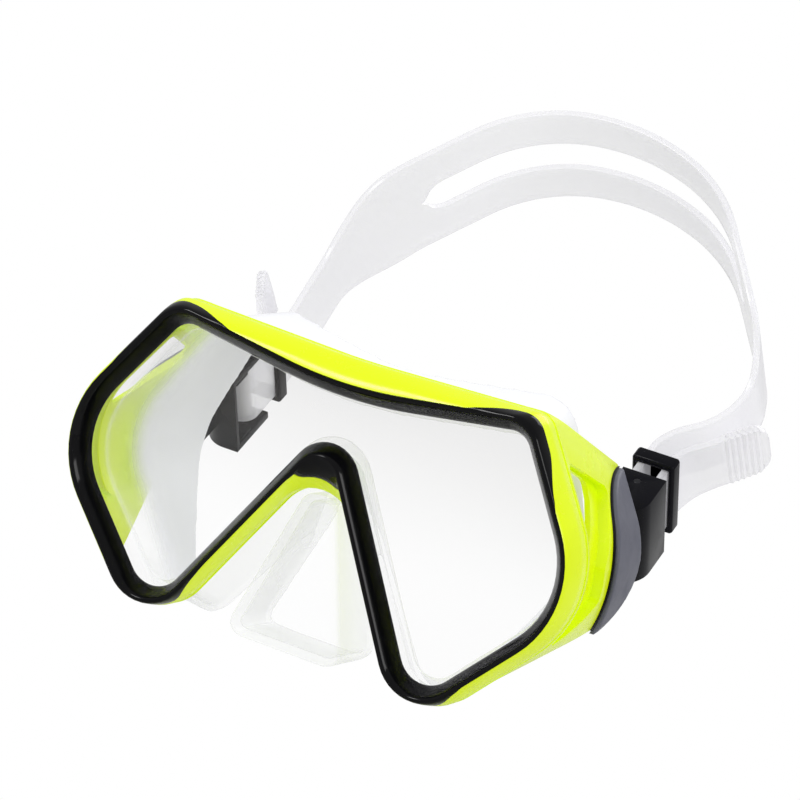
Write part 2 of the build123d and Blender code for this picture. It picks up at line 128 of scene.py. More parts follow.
class Graph:
    """The node graph of one material."""

    def __init__(self, name: str) -> None:
        """Makes an empty material.

        Args:
            name: The material's name.
        """
        self.material = bpy.data.materials.new(name)
        self.material.use_nodes = True
        self.tree = self.material.node_tree
        self.tree.nodes.clear()
        self.target = self.tree.nodes.new("ShaderNodeOutputMaterial")

    def node(self, kind: str, inputs: dict[Any, Link], output: Any = 0, **settings: Any) -> Socket:
        """Adds any node.

        Args:
            kind: The node's type.
            inputs: Values or links by socket name or number.
            output: The output to return, by name or number.
            settings: Properties of the node, set before its inputs.

        Returns:
            The chosen output.
        """
        made = self.tree.nodes.new(kind)
        for key, value in settings.items():
            setattr(made, key, value)
        for key, value in inputs.items():
            self.feed(made.inputs[key], value)
        return Socket(self, made.outputs[output])

    def feed(self, entry: Any, value: Link) -> None:
        """Links a socket, or sets its constant.

        Args:
            entry: The input socket.
            value: A link, a number or a list of numbers.
        """
        if isinstance(value, Socket):
            self.tree.links.new(value.output, entry)
        else:
            entry.default_value = value

    def place(self) -> Socket:
        """Position on the piece, in metres."""
        return self.node("ShaderNodeTexCoord", {}, "Object")

    def axis(self, name: str) -> Socket:
        """One coordinate of the position, X, Y or Z."""
        return self.node("ShaderNodeSeparateXYZ", {0: self.place()}, name)

    def noise(self, scale: float, detail: float = 3.0, roughness: float = 0.5) -> Socket:
        """Noise from 0 to 1 over the position.

        Args:
            scale: Waves per metre.
            detail: Number of finer layers.
            roughness: Strength of the finer layers.

        Returns:
            The noise value.
        """
        inputs = {"Vector": self.place(), "Scale": scale, "Detail": detail, "Roughness": roughness}
        return self.node("ShaderNodeTexNoise", inputs, "Fac")

    def mix(self, factor: Link, first: Link, second: Link) -> Socket:
        """Colour between two colours.

        Args:
            factor: 0 for the first, 1 for the second.
            first: A colour.
            second: A colour.

        Returns:
            The mixed colour.
        """
        made = self.tree.nodes.new("ShaderNodeMix")
        made.data_type = "RGBA"
        self.feed(made.inputs[0], factor)
        self.feed(made.inputs[6], first)
        self.feed(made.inputs[7], second)
        return Socket(self, made.outputs[2])

    def bump(self, height: Socket, strength: float, distance: float) -> Socket:
        """Surface relief.

        Args:
            height: Height from 0 to 1.
            strength: Share of the relief that shows.
            distance: Depth of the relief in metres.

        Returns:
            The bumped normal.
        """
        return self.node("ShaderNodeBump", {"Height": height, "Strength": strength, "Distance": distance})

    def principled(self, **inputs: Link) -> Socket:
        """A Principled shader.

        Args:
            inputs: Values by socket name, with underscores for spaces.

        Returns:
            The shader.
        """
        named = {key.replace("_", " "): value for key, value in inputs.items()}
        return self.node("ShaderNodeBsdfPrincipled", named)

    def finish(self, shader: Socket) -> bpy.types.Material:
        """Links the shader to the output and returns the material."""
        self.tree.links.new(shader.output, self.target.inputs["Surface"])
        return self.material


def rgba(colour: Sequence[float]) -> tuple[float, float, float, float]:
    """A linear colour with full alpha."""
    return (colour[0], colour[1], colour[2], 1.0)


# ---------------------------------------------------------------- finishes
@dataclass(frozen=True)
class MouldedPlastic:
    """Injection-moulded plastic with faint flow marks, a fine surface ripple and a painted glow."""

    name: str
    colour: tuple[float, float, float]
    shade: tuple[float, float, float]
    roughness: float
    coat: float = 0.0
    grain: float = 900.0
    grain_depth: float = 0.00002
    # Painted light: emission strength that brightens the plastic in its own colour, as if it were lit more.
    glow: float = 0.0
    specular: float = 0.5

    def build(self) -> bpy.types.Material:
        """Makes the material."""
        graph = Graph(self.name)
        cloud = graph.noise(35.0)
        fine = graph.noise(self.grain, 2.0)
        wear = graph.noise(140.0, 4.0, 0.6).ramp(0.45, 0.75)
        colour = graph.mix(cloud.ramp(0.3, 0.7), rgba(self.colour), rgba(self.shade))
        rough = wear * (0.25 * self.roughness + 0.02) + self.roughness
        shader = graph.principled(
            Base_Color=colour,
            Roughness=rough,
            Coat_Weight=self.coat,
            Coat_Roughness=0.05,
            Specular_IOR_Level=self.specular,
            # Painted light: the plastic glows in its own colour, which lightens it like extra light.
            Emission_Color=rgba(self.colour),
            Emission_Strength=self.glow,
            Normal=graph.bump(fine, 0.4, self.grain_depth),
        )
        return graph.finish(shader)


@dataclass(frozen=True)
class ClearSilicone:
    """Milky, see-through silicone with a soft sheen, a fine bloom and a painted glow in its own tint.

    Its alpha is opacity where it faces the camera and edge at its rims. Frost gives the depths in metres
    where the parts at the temples and over the brow start to grow milky and are fully so, at milky_most.
    """

    name: str
    colour: tuple[float, float, float]
    opacity: float
    edge: float
    roughness: float = 0.16
    frost: Optional[Point] = None
    # Painted light: emission strength that brightens the silicone in its own tint, as if it were lit more.
    glow: float = 0.17
    temple: Point = (0.036, 0.046)
    brow: Point = (0.024, 0.034)
    milky_most: float = 0.9

    def build(self) -> bpy.types.Material:
        """Makes the material."""
        graph = Graph(self.name)
        cloud = graph.noise(30.0, 3.0)
        bloom = graph.noise(160.0, 5.0, 0.65)
        shade = [channel * 0.975 for channel in self.colour]
        tint = graph.mix(cloud.ramp(0.3, 0.75), rgba(self.colour), rgba(shade))
        rim = graph.node("ShaderNodeLayerWeight", {"Blend": 0.45}, "Facing")
        alpha = rim.ramp(0.15, 0.95, self.opacity, self.edge)
        if self.frost:
            region = graph.axis("X").absolute().ramp(*self.temple) + graph.axis("Z").ramp(*self.brow)
            milky = graph.axis("Y").ramp(*self.frost) * region.ramp(0.0, 1.0, 0.0, self.milky_most)
            alpha = alpha + milky * (1.0 - alpha)
        shader = graph.principled(
            Base_Color=tint,
            Roughness=bloom.ramp(0.3, 0.8, self.roughness, self.roughness + 0.06),
            Alpha=alpha,
            IOR=1.41,
            Specular_IOR_Level=0.6,
            # Painted light: the silicone glows in its own tint, which lightens its shaded walls.
            Emission_Color=tint,
            Emission_Strength=self.glow,
            Normal=graph.bump(bloom, 0.1, 0.000012),
        )
        return graph.finish(shader)


@dataclass(frozen=True)
class WindowGlass:
    """Clear tempered glass that darkens very slightly towards the brow."""

    name: str
    colour: tuple[float, float, float]
    brow: tuple[float, float, float]
    low: float
    high: float

    def build(self) -> bpy.types.Material:
        """Makes the material."""
        graph = Graph(self.name)
        height = graph.axis("Z")
        fade = height.ramp(self.low, self.high)
        smear = graph.noise(60.0, 4.0).ramp(0.5, 0.8)
        shader = graph.principled(
            Base_Color=graph.mix(fade, rgba(self.colour), rgba(self.brow)),
            Roughness=smear * 0.02 + 0.01,
            IOR=1.5,
            Alpha=fade * 0.08 + 0.02,
        )
        return graph.finish(shader)


@dataclass(frozen=True)
class TurnedSteel:
    """Turned metal with fine rings along its length."""

    name: str
    colour: tuple[float, float, float]

    def build(self) -> bpy.types.Material:
        """Makes the material."""
        graph = Graph(self.name)
        rings = graph.noise(1400.0, 2.0)
        shader = graph.principled(
            Base_Color=graph.mix(rings, rgba(self.colour), rgba([c * 0.8 for c in self.colour])),
            Metallic=1.0,
            Roughness=rings * 0.15 + 0.25,
            Normal=graph.bump(rings, 0.3, 0.00002),
        )
        return graph.finish(shader)


class Finish(Enum):
    """The finishes of the mask."""

    GLOSS_BLACK = MouldedPlastic(
        "gloss_black",
        (0.0022, 0.0022, 0.0028),
        (0.003, 0.003, 0.0038),
        0.1,
        grain_depth=0.000003,
        specular=0.15,
    )
    # Chartreuse carries a painted glow: emission that brightens the yellow as if it were lit more.
    CHARTREUSE = MouldedPlastic(
        "chartreuse",
        (0.77, 0.94, 0.004),
        (0.755, 0.925, 0.004),
        0.24,
        grain_depth=0.000003,
        glow=0.15,
        specular=0.35,
    )
    SLATE = MouldedPlastic("slate_rubber", (0.125, 0.128, 0.165), (0.11, 0.113, 0.15), 0.42, specular=0.3)
    SEAL = MouldedPlastic("black_rubber", (0.003, 0.003, 0.004), (0.004, 0.004, 0.005), 0.4, specular=0.14)
    BUCKLE = MouldedPlastic("satin_black", (0.003, 0.003, 0.005), (0.0045, 0.0045, 0.007), 0.2, specular=0.09)
    ROLLER = MouldedPlastic("white_acetal", (0.62, 0.62, 0.6), (0.55, 0.55, 0.53), 0.35)
    STEEL = TurnedSteel("pin_steel", (0.05, 0.05, 0.055))
    GLASS = WindowGlass("lens_glass", (0.55, 0.56, 0.56), (0.36, 0.34, 0.33), -0.012, 0.034)
    # The skirt carries a painted glow: emission that lightens the silicone as if it were lit more.
    SKIRT = ClearSilicone(
        "skirt_silicone", (0.84, 0.845, 0.875), 0.06, 0.48, frost=(-0.030, -0.019), glow=0.25
    )
    # The strap keeps the default painted glow: emission that lightens the silicone as if it were lit more.
    STRAP = ClearSilicone("strap_silicone", (0.86, 0.855, 0.885), 0.34, 0.94)


class Paint:
    """Keeps each finish's material once it is made."""

    def __init__(self) -> None:
        """Starts with no materials."""
        self.made: dict[Finish, bpy.types.Material] = {}

    def get(self, finish: Finish) -> bpy.types.Material:
        """The material of a finish, made on first use."""
        if finish not in self.made:
            self.made[finish] = finish.value.build()
        return self.made[finish]

    def cover(self, piece: bpy.types.Object, finish: Finish) -> None:
        """Gives a whole piece one finish.

        Args:
            piece: The object.
            finish: The finish of all its faces.
        """
        if not piece.material_slots:
            piece.data.materials.append(None)
        for entry in piece.material_slots:
            entry.material = self.get(finish)


PAINT = Paint()


# ---------------------------------------------------------------- modelling
class Bench:
    """Edit-mode work on one mesh at a time."""

    @staticmethod
    def alone(piece: bpy.types.Object) -> None:
        """Makes a piece the only selected and the active object."""
        if bpy.context.mode != "OBJECT":
            bpy.ops.object.mode_set(mode="OBJECT")
        bpy.ops.object.select_all(action="DESELECT")
        piece.select_set(True)
        bpy.context.view_layer.objects.active = piece

    @staticmethod
    def copy_node(node: str, name: str) -> bpy.types.Object:
        """A separate, merged copy of a CAD node's mesh.

        Args:
            node: The CAD node.
            name: The name of the new piece.

        Returns:
            The new piece, which stands for the node.
        """
        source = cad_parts[node]
        piece = bpy.data.objects.new(name, source.data.copy())
        bpy.context.scene.collection.objects.link(piece)
        piece.data.materials.clear()
        Bench.alone(piece)
        bpy.ops.object.mode_set(mode="EDIT")
        bpy.ops.mesh.select_all(action="SELECT")
        bpy.ops.mesh.remove_doubles(threshold=0.00001)
        bpy.ops.mesh.customdata_custom_splitnormals_clear()
        bpy.ops.object.mode_set(mode="OBJECT")
        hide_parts(node)
        return piece

    @staticmethod
    def apply(piece: bpy.types.Object, kind: str, **settings: Any) -> None:
        """Adds a modifier with these settings and applies it.

        Args:
            piece: The object.
            kind: The modifier's type.
            settings: The modifier's properties.
        """
        Bench.alone(piece)
        made = piece.modifiers.new(kind.lower(), kind)
        for key, value in settings.items():
            setattr(made, key, value)
        bpy.ops.object.modifier_apply(modifier=made.name)

    @staticmethod
    def soften(piece: bpy.types.Object, width: float, segments: int = 3, angle: float = 30.0) -> None:
        """Flattens the facets of a CAD copy and rounds its edges.

        Args:
            piece: The copy.
            width: Width of the rounding in metres.
            segments: Facets across the rounding.
            angle: Edges sharper than this many degrees are rounded.
        """
        Bench.alone(piece)
        bpy.ops.object.mode_set(mode="EDIT")
        bpy.ops.mesh.select_all(action="SELECT")
        bpy.ops.mesh.dissolve_limited(angle_limit=math.radians(0.8))
        bpy.ops.object.mode_set(mode="OBJECT")
        Bench.apply(
            piece,
            "BEVEL",
            width=width,
            segments=segments,
            limit_method="ANGLE",
            angle_limit=math.radians(angle),
            miter_outer="MITER_ARC",
            use_clamp_overlap=True,
        )
        Bench.smooth(piece)

    @staticmethod
    def smooth(piece: bpy.types.Object, angle: float = 40.0) -> None:
        """Shades a piece smoothly, except over edges sharper than angle degrees."""
        Bench.alone(piece)
        bpy.ops.object.shade_smooth_by_angle(angle=math.radians(angle))

    @staticmethod
    def recast(piece: bpy.types.Object, voxel: float, passes: int, factor: float = 0.5) -> None:
        """Remeshes a soft piece evenly and relaxes it.

        Args:
            piece: The object.
            voxel: Size of the new faces in metres.
            passes: Number of smoothing passes.
            factor: Strength of each pass.
        """
        Bench.apply(piece, "REMESH", mode="VOXEL", voxel_size=voxel)
        Bench.apply(piece, "SMOOTH", factor=factor, iterations=passes)
        Bench.alone(piece)
        bpy.ops.object.shade_smooth()

    @staticmethod
    def outward(piece: bpy.types.Object) -> None:
        """Turns all the faces of a closed piece outwards."""
        Bench.alone(piece)
        bpy.ops.object.mode_set(mode="EDIT")
        bpy.ops.mesh.select_all(action="SELECT")
        bpy.ops.mesh.normals_make_consistent(inside=False)
        bpy.ops.object.mode_set(mode="OBJECT")

    @staticmethod
    def loft(
        name: str, rows: Sequence[Sequence[Vector]], closed_rows: bool = True, closed_loft: bool = False
    ) -> bpy.types.Object:
        """A skin over rows of points, shaped from a flat grid.

        Args:
            name: The name of the new piece.
            rows: Rows of points, all of one length, in metres.
            closed_rows: Whether each row joins up with itself.
            closed_loft: Whether the last row joins up with the first.

        Returns:
            The new piece.
        """
        grid = [list(row) + [row[0]] if closed_rows else list(row) for row in rows]
        if closed_loft:
            grid.append(grid[0])
        Bench.clear()
        bpy.ops.mesh.primitive_grid_add(
            x_subdivisions=len(grid[0]) - 1, y_subdivisions=len(grid) - 1, size=0.1
        )
        piece = bpy.context.object
        piece.name = name
        piece.data.name = name
        points = [point for row in grid for point in row]
        for vertex, point in zip(piece.data.vertices, points, strict=True):
            vertex.co = point
        bpy.ops.object.mode_set(mode="EDIT")
        bpy.ops.mesh.select_all(action="SELECT")
        bpy.ops.mesh.remove_doubles(threshold=0.000002)
        bpy.ops.object.mode_set(mode="OBJECT")
        piece.data.update()
        return piece

    @staticmethod
    def clear() -> None:
        """Leaves edit mode and deselects everything."""
        if bpy.context.object and bpy.context.mode != "OBJECT":
            bpy.ops.object.mode_set(mode="OBJECT")
        bpy.ops.object.select_all(action="DESELECT")

    @staticmethod
    def join(pieces: Sequence[bpy.types.Object], name: str) -> bpy.types.Object:
        """Joins pieces into the first one.

        Args:
            pieces: The objects to join.
            name: The joined piece's name.

        Returns:
            The joined piece.
        """
        Bench.alone(pieces[0])
        for piece in pieces[1:]:
            piece.select_set(True)
        bpy.ops.object.join()
        pieces[0].name = name
        return pieces[0]


def report(piece: bpy.types.Object, body: str) -> None:
    """Puts a finished piece on its body and logs it.

    Args:
        piece: The finished piece.
        body: The CAD body that it moves with.
    """
    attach(piece, body)
    LOG.info("%s: %d faces on %s", piece.name, len(piece.data.polygons), body)


# ---------------------------------------------------------------- outlines
@dataclass(frozen=True)
class Station:
    """One place on an outline: its point, its outward normal and its distance from the start."""

    x: float
    z: float
    nx: float
    nz: float
    run: float

    def out(self, distance: float, y: float) -> Vector:
        """The point at a distance outside the outline, in metres.

        Args:
            distance: Millimetres outwards.
            y: Depth in millimetres.

        Returns:
            The point.
        """
        return Vector((self.x + self.nx * distance, y, self.z + self.nz * distance)) * MM


@dataclass(frozen=True)
class Outline:
    """A symmetric rounded outline, from the right half of its corners."""

    corners: tuple[tuple[float, float, float], ...]
    per_arc: int = 12
    per_line: int = 22

    def stations(self) -> list[Station]:
        """Evenly numbered places round the outline, in the order of its corners."""
        half = list(self.corners)
        ring = half + [(-x, z, r) for x, z, r in reversed(half[1:-1])]
        count = len(ring)
        arcs = []
        for i, (x, z, r) in enumerate(ring):
            corner = Vector((x, z))
            back = (Vector(ring[i - 1][:2]) - corner).normalized()
            ahead = (Vector(ring[(i + 1) % count][:2]) - corner).normalized()
            opening = back.angle(ahead)
            tangent = r / math.tan(opening / 2)
            middle = corner + (back + ahead).normalized() * (r / math.sin(opening / 2))
            arcs.append((corner + back * tangent, corner + ahead * tangent, middle, r))
        points: list[tuple[Vector, Vector]] = []
        for i, (start, end, middle, r) in enumerate(arcs):
            first = start - middle
            turn = first.angle_signed(end - middle)
            hollow = 1.0 if turn > 0 else -1.0
            for j in range(self.per_arc):
                ray = Matrix.Rotation(-turn * j / self.per_arc, 2) @ first
                points.append((middle + ray, ray.normalized() * hollow))
            following = arcs[(i + 1) % count][0]
            along = (following - end).normalized()
            for j in range(self.per_line):
                points.append((end.lerp(following, j / self.per_line), Vector((-along.y, along.x))))
        out: list[Station] = []
        run = 0.0
        for i, (point, normal) in enumerate(points):
            run += (point - points[i - 1][0]).length if i else 0.0
            out.append(Station(point.x, point.y, normal.x, normal.y, run))
        return out


def smooth_step(start: float, end: float, value: float) -> float:
    """Smooth rise from 0 at start to 1 at end."""
    share = min(1.0, max(0.0, (value - start) / (end - start)))
    return share * share * (3.0 - 2.0 * share)


def blend_points(first: Vector, second: Vector, share: float) -> Vector:
    """The point at a share of the way between two points."""
    return first + (second - first) * share


OPENING = Outline(
    ((0.0, 28.8, 130.0), (50.9, 36.4, 6.0), (75.1, -1.7, 23.3), (39.9, -40.6, 8.4), (0.0, 27.4, 10.0))
)
FRAME_EDGE = Outline(
    ((0.0, 40.2, 250.0), (54.3, 42.2, 6.0), (82.9, -1.7, 30.0), (39.5, -49.8, 14.2), (0.0, 17.5, 13.0))
)


# ---------------------------------------------------------------- front of the mask
@dataclass
class FrontFrame:
    """The glossy bezel with its lugs, and the yellow ring it is let into. Millimetres."""

    lens_y: float = -45.0
    crest: float = 5.5
    crest_edge: float = 4.1
    shoulder_back: float = 1.0
    ring_back: float = 6.6
    bezel_width: float = 3.7
    lug_step: float = 0.16
    kinks: tuple[tuple[Point, Point, float], ...] = (
        ((35.0, 38.8), (63.75, 22.0), 0.74),
        ((53.75, -31.0), (27.5, -27.0), 0.86),
        ((13.5, -3.5), (-13.5, -3.5), 0.62),
        ((-27.5, -27.0), (-53.75, -31.0), 0.86),
        ((-63.75, 22.0), (-35.0, 38.8), 0.74),
    )
    opening: list[Station] = field(default_factory=OPENING.stations)
    edge: list[Station] = field(default_factory=FRAME_EDGE.stations)

    def lug_share(self, index: int) -> float:
        """How much of the shoulder the bezel covers at a station, from 0 to 1."""
        best = 0.0
        run = self.edge[index].run
        for start, end, full in self.kinks:
            first = self.nearest(start)
            last = self.nearest(end)
            inside = min(run - first.run, last.run - run)
            rise = smooth_step(0.0, 0.35 * (last.run - first.run), inside)
            step = self.lug_step * smooth_step(-0.9, 0.9, inside)
            best = max(best, step + (full - self.lug_step) * rise)
        return best

    def nearest(self, point: Point) -> Station:
        """The station of the frame's edge that is closest to a point."""
        return min(self.edge, key=lambda s: (s.x - point[0]) ** 2 + (s.z - point[1]) ** 2)

    def shoulder(self, index: int, share: float, sink: float = 0.0) -> Vector:
        """A point on the rounded shoulder between the crest and the outer edge.

        Args:
            index: Number of the station.
            share: 0 at the crest, 1 at the outer edge.
            sink: Depth below the surface in millimetres.

        Returns:
            The point in metres.
        """
        inner = self.opening[index].out(self.crest_edge, 0.0)
        outer = self.edge[index].out(0.0, 0.0)
        place = blend_points(inner, outer, share)
        front = self.lens_y - self.crest + 0.25
        back = self.lens_y + self.shoulder_back
        depth = front + (back - front) * share**1.7
        place.y = (depth + sink) * MM
        return place

    def build_bezel(self) -> bpy.types.Object:
        """The black ring, thickened into lugs at the corners, the lobes and the nose."""
        bevel = ((0.0, 0.3), (0.1, -0.4), (0.75, -1.6), (1.5, -2.9), (2.2, -4.05), (2.7, -4.8), (3.1, -5.25))
        crest = ((3.45, -5.46), (3.8, -5.42))
        rows: list[list[Vector]] = []
        for out, depth in bevel + crest:
            rows.append([s.out(out, self.lens_y + depth) for s in self.opening])
        shares = [max(0.012, self.lug_share(i)) for i in range(len(self.opening))]
        for step in (0.0, 0.25, 0.5, 0.75, 1.0):
            rows.append([self.shoulder(i, share * step) for i, share in enumerate(shares)])
        rows.append([self.shoulder(i, share + 0.012, 0.35) for i, share in enumerate(shares)])
        rows.append([self.shoulder(i, share + 0.012, 1.4) for i, share in enumerate(shares)])
        rows.append([s.out(self.bezel_width, self.lens_y - 1.0) for s in self.opening])
        rows.append([s.out(self.bezel_width - 0.4, self.lens_y + 0.3) for s in self.opening])
        piece = Bench.loft("bezel_ring", rows, closed_loft=True)
        Bench.outward(piece)
        Bench.smooth(piece, 50.0)
        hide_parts("bezel")
        return piece

    def build_ring(self) -> bpy.types.Object:
        """The yellow ring: shoulder, outer wall and back."""
        shares = [max(0.012, self.lug_share(i)) for i in range(len(self.opening))]
        rows: list[list[Vector]] = []
        rows.append([self.shoulder(i, share + 0.03, 2.6) for i, share in enumerate(shares)])
        rows.append([self.shoulder(i, min(1.0, share + 0.03), 0.45) for i, share in enumerate(shares)])
        for step in (0.04, 0.18, 0.36, 0.54, 0.72, 0.88, 1.0):
            rows.append([self.shoulder(i, share + (1.0 - share) * step) for i, share in enumerate(shares)])
        back = self.lens_y + self.shoulder_back
        rear = self.lens_y + self.ring_back
        wall = ((0.12, back + 0.7), (0.0, back + 2.0), (-0.1, rear - 1.2), (-0.3, rear - 0.4), (-0.8, rear))
        for out, depth in wall:
            rows.append([s.out(out, depth) for s in self.edge])
        rows.append([s.out(self.bezel_width + 0.1, rear) for s in self.opening])
        rows.append([s.out(self.bezel_width + 0.1, self.lens_y) for s in self.opening])
        piece = Bench.loft("frame_ring", rows, closed_loft=True)
        Bench.outward(piece)
        Bench.smooth(piece, 50.0)
        return piece

    def build_arms(self) -> bpy.types.Object:
        """Both side arms behind the ring, cut from the moulded frame and rounded."""
        piece = Bench.copy_node("outer_frame", "side_arms")
        bpy.ops.object.mode_set(mode="EDIT")
        bpy.ops.mesh.select_all(action="SELECT")
        bpy.ops.mesh.bisect(
            plane_co=(0.0, (self.lens_y + self.ring_back - 0.5) * MM, 0.0),
            plane_no=(0.0, 1.0, 0.0),
            clear_inner=True,
            use_fill=True,
        )
        bpy.ops.object.mode_set(mode="OBJECT")
        Bench.soften(piece, 0.7 * MM, 3)
        return piece

    def build_lens(self) -> bpy.types.Object:
        """The window, with its ground edge."""
        piece = Bench.copy_node("lens", "window")
        Bench.soften(piece, 0.5 * MM, 2)
        return piece

    def make(self) -> None:
        """Builds, dresses and places the front of the mask."""
        bezel = self.build_bezel()
        PAINT.cover(bezel, Finish.GLOSS_BLACK)
        report(bezel, MASK)
        ring = Bench.join([self.build_arms(), self.build_ring()], "frame_shell")
        PAINT.cover(ring, Finish.CHARTREUSE)
        report(ring, MASK)
        window = self.build_lens()
        PAINT.cover(window, Finish.GLASS)
        report(window, MASK)


# ---------------------------------------------------------------- skirt
@dataclass
class Skirt:
    """The soft skirt and nose pocket. Millimetres."""

    voxel: float = 0.85
    passes: int = 7

    def build(self) -> bpy.types.Object:
        """The moulded silicone body with softened walls."""
        piece = Bench.copy_node("skirt", "face_skirt")
        Bench.recast(piece, self.voxel * MM, self.passes)
        return piece

    def make(self) -> None:
        """Builds, dresses and places the skirt."""
        piece = self.build()
        PAINT.cover(piece, Finish.SKIRT)
        report(piece, MASK)


# ---------------------------------------------------------------- strap
@dataclass
class HeadStrap:
    """The silicone head strap: two free tails, two single layers and a split loop. Millimetres.

    A tail is its side, its flare in degrees and its length. A corner of the loop is its x, its distance
    along the strap from the start of the loop, and its radius.
    """

    pivot_y: float = -7.0
    pivot_z: float = -9.0
    buckle_pitch: float = 35.0
    loop_pitch: float = 51.0
    loop_start: float = 60.0
    roller_at: float = 38.8
    roller_x: float = 62.5
    strap_offset: float = 3.6
    width: float = 20.5
    loop_width: float = 38.0
    slot_width: float = 11.6
    slot_start: float = 122.4
    widen_start: float = 84.0
    widen_end: float = 114.6
    thickness: float = 1.8
    tail_start: float = 53.85
    tail_bend: float = 14.0
    tail_rows: int = 48
    tip_radius: float = 6.0
    rib_height: float = 0.3
    rib_rows: int = 4
    ribs_start: Point = (0.3, 0.4)
    ribs_end: Point = (0.88, 0.94)
    bend_blend: float = 7.0
    columns: int = 5
    rounding: float = 0.5
    tails: tuple[tuple[int, float, float], ...] = ((1, 45.0, 31.5), (-1, 25.0, 26.0))
    loop: tuple[tuple[float, float, float], ...] = (
        (-58.9, 45.0, 62.0),
        (-23.5, 93.5, 45.0),
        (10.5, 97.0, 62.0),
        (41.5, 86.5, 54.0),
        (71.0, 44.0, 40.0),
        (79.5, 20.0, 22.0),
        (58.9, 4.5, 14.0),
    )

    def pitch(self, along: float) -> float:
        """Rise of the strap in radians at a distance from the swivel axis."""
        share = smooth_step(self.loop_start - self.bend_blend, self.loop_start + self.bend_blend, along)
        return math.radians(self.buckle_pitch + (self.loop_pitch - self.buckle_pitch) * share)

    def carrier(self) -> list[tuple[float, float]]:
        """Depth and height of the strap's middle for each half millimetre along it."""
        y, z = self.pivot_y, self.pivot_z
        out = []
        for step in range(0, 400):
            out.append((y, z))
            angle = self.pitch(step * 0.5 + 0.25)
            y += 0.5 * math.cos(angle)
            z += 0.5 * math.sin(angle)
        return out

    def place(self, x: float, along: float, across: float) -> Vector:
        """The point at a place on the strap's plan and a height over its middle, in metres."""
        line = self.carrier_line
        at = min(max(along, 0.0) * 2.0, len(line) - 2.0)
        low = int(at)
        share = at - low
        y = line[low][0] * (1 - share) + line[low + 1][0] * share
        z = line[low][1] * (1 - share) + line[low + 1][1] * share
        angle = self.pitch(along)
        return Vector((x, y - across * math.sin(angle), z + across * math.cos(angle))) * MM

    def __post_init__(self) -> None:
        """Works out the carrier line once."""
        self.carrier_line = self.carrier()

    def fillets(self, corners: Sequence[tuple[float, float, float]]) -> list[Vector]:
        """Points along an open route with rounded corners, about a millimetre and a half apart."""
        points: list[Vector] = []
        last = Vector(corners[0][:2])
        for i in range(1, len(corners) - 1):
            corner = Vector(corners[i][:2])
            r = corners[i][2]
            back = (Vector(corners[i - 1][:2]) - corner).normalized()
            ahead = (Vector(corners[i + 1][:2]) - corner).normalized()
            opening = back.angle(ahead)
            tangent = r / math.tan(opening / 2)
            middle = corner + (back + ahead).normalized() * (r / math.sin(opening / 2))
            start = corner + back * tangent
            self.straight(points, last, start)
            first = start - middle
            turn = first.angle_signed(corner + ahead * tangent - middle)
            steps = max(3, int(abs(turn) * r / 1.5))
            for j in range(steps):
                points.append(middle + Matrix.Rotation(-turn * j / steps, 2) @ first)
            last = corner + ahead * tangent
        self.straight(points, last, Vector(corners[-1][:2]))
        points.append(Vector(corners[-1][:2]))
        return points

    @staticmethod
    def straight(points: list[Vector], start: Vector, end: Vector) -> None:
        """Adds the points of a straight run, without its end."""
        steps = max(1, int((end - start).length / 1.5))
        points.extend(start.lerp(end, j / steps) for j in range(steps))

    def tail(self, side: int, flare: float, length: float) -> list[Vector]:
        """Plan of a free end, from its tip to the outer layer beside the roller."""
        outer = self.roller_x + self.strap_offset
        turned = math.radians(flare)
        points = []
        steps = 8
        for j in range(steps + 1):
            angle = turned * j / steps
            reach = self.tail_bend * math.sin(angle)
            away = self.tail_bend * (1 - math.cos(angle))
            points.append(Vector((outer + away, self.tail_start + reach)))
        rest = length - self.tail_bend * turned
        direction = Vector((math.sin(turned), math.cos(turned)))
        across = Vector((direction.y, -direction.x))
        for j in range(1, self.tail_rows + 1):
            share = j / self.tail_rows
            ribbed = smooth_step(*self.ribs_start, share) - smooth_step(*self.ribs_end, share)
            wave = self.rib_height * ribbed * math.cos(2 * math.pi * j / self.rib_rows)
            points.append(points[steps] + direction * rest * share + across * wave)
        points.reverse()
        self.straight(points, points.pop(), Vector((outer, self.roller_at)))
        for j in range(12):
            angle = math.pi * j / 12
            x = self.roller_x + self.strap_offset * math.cos(angle)
            points.append(Vector((x, self.roller_at - self.strap_offset * math.sin(angle))))
        return [Vector((side * p.x, p.y)) for p in points]

    def route(self) -> list[Vector]:
        """Plan of the whole strap from the tip of the right tail to the tip of the left one."""
        inner = self.roller_x - self.strap_offset
        corners = [(-inner, self.roller_at, 0.0)]
        corners += [(x, along + self.loop_start, r) for x, along, r in self.loop]
        corners += [(inner, self.roller_at, 0.0)]
        right = self.tail(*self.tails[1])
        left = self.tail(*self.tails[0])
        left.reverse()
        return right + self.fillets(corners) + left

    def half_widths(self, along: float) -> tuple[float, float]:
        """Half of the strap's width and half of the slot's width at a distance along it."""
        share = smooth_step(self.widen_start, self.widen_end, along)
        half = (self.width + (self.loop_width - self.width) * share) / 2
        radius = self.slot_width / 2
        into = along - self.slot_start
        if into <= 0.0:
            return half, 0.0
        if into >= radius:
            return half, radius
        return half, math.sqrt(max(0.0, radius**2 - (radius - into) ** 2))

